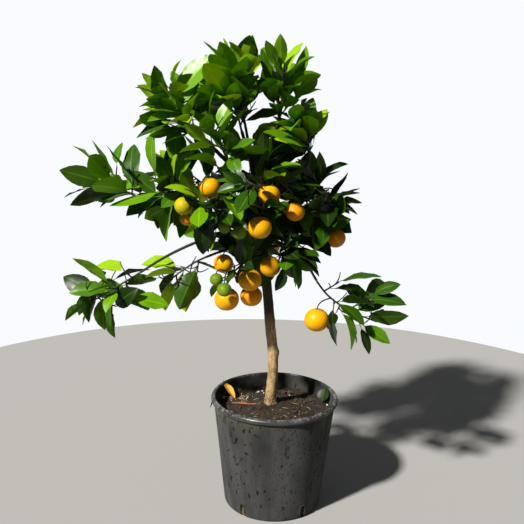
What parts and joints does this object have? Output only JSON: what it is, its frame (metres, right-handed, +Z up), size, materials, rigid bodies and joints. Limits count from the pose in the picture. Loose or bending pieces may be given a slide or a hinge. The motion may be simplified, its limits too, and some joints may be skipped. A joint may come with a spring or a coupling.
{
  "type": "calamondin orange tree in a pot",
  "caption": "Small citrus tree with a slender stem, a round leafy head, low side sprays and ripe orange fruit, standing in a round tapered nursery pot.",
  "frame": {"origin": "centre of the pot's flat underside", "axes": "+Z up along the stem, -Y towards the front view, +X to the right of it"},
  "size_m": [0.5002, 0.2851, 0.7159],
  "materials": {
    "pot": "matte, scuffed and dusty",
    "compost": "damp and crumbly",
    "bark": "matte bark",
    "foliage": "glossy leaves and orange fruit"
  },
  "bodies": {
    "root": {"pot": "pot", "soil": "compost", "trunk": "bark", "limb_low_front": "bark", "limb_low_back": "bark", "limb_low_right": "bark", "limb_left_inner": "bark", "limb_back_left": "bark", "limb_right_low": "bark", "limb_back_right": "bark", "limb_left_low": "bark", "limb_right": "bark", "limb_front_left": "bark", "limb_left": "bark", "limb_left_high": "bark", "limb_right_up": "bark", "limb_middle": "bark", "limb_back": "bark", "limb_front": "bark", "limb_top_left": "bark", "limb_top_right": "bark", "limb_back_top": "bark", "mass_top": "foliage", "mass_top_left": "foliage", "mass_top_right": "foliage", "mass_right_up": "foliage", "mass_left": "foliage", "mass_left_high": "foliage", "mass_front_left": "foliage", "mass_front": "foliage", "mass_middle": "foliage", "mass_right": "foliage", "mass_low_front": "foliage", "mass_low_right": "foliage", "mass_low_back": "foliage", "mass_back": "foliage", "mass_back_left": "foliage", "mass_back_right": "foliage", "mass_back_top": "foliage", "spray_left_low": "foliage", "spray_left_inner": "foliage", "spray_right_low": "foliage"}
  },
  "joints": []
}
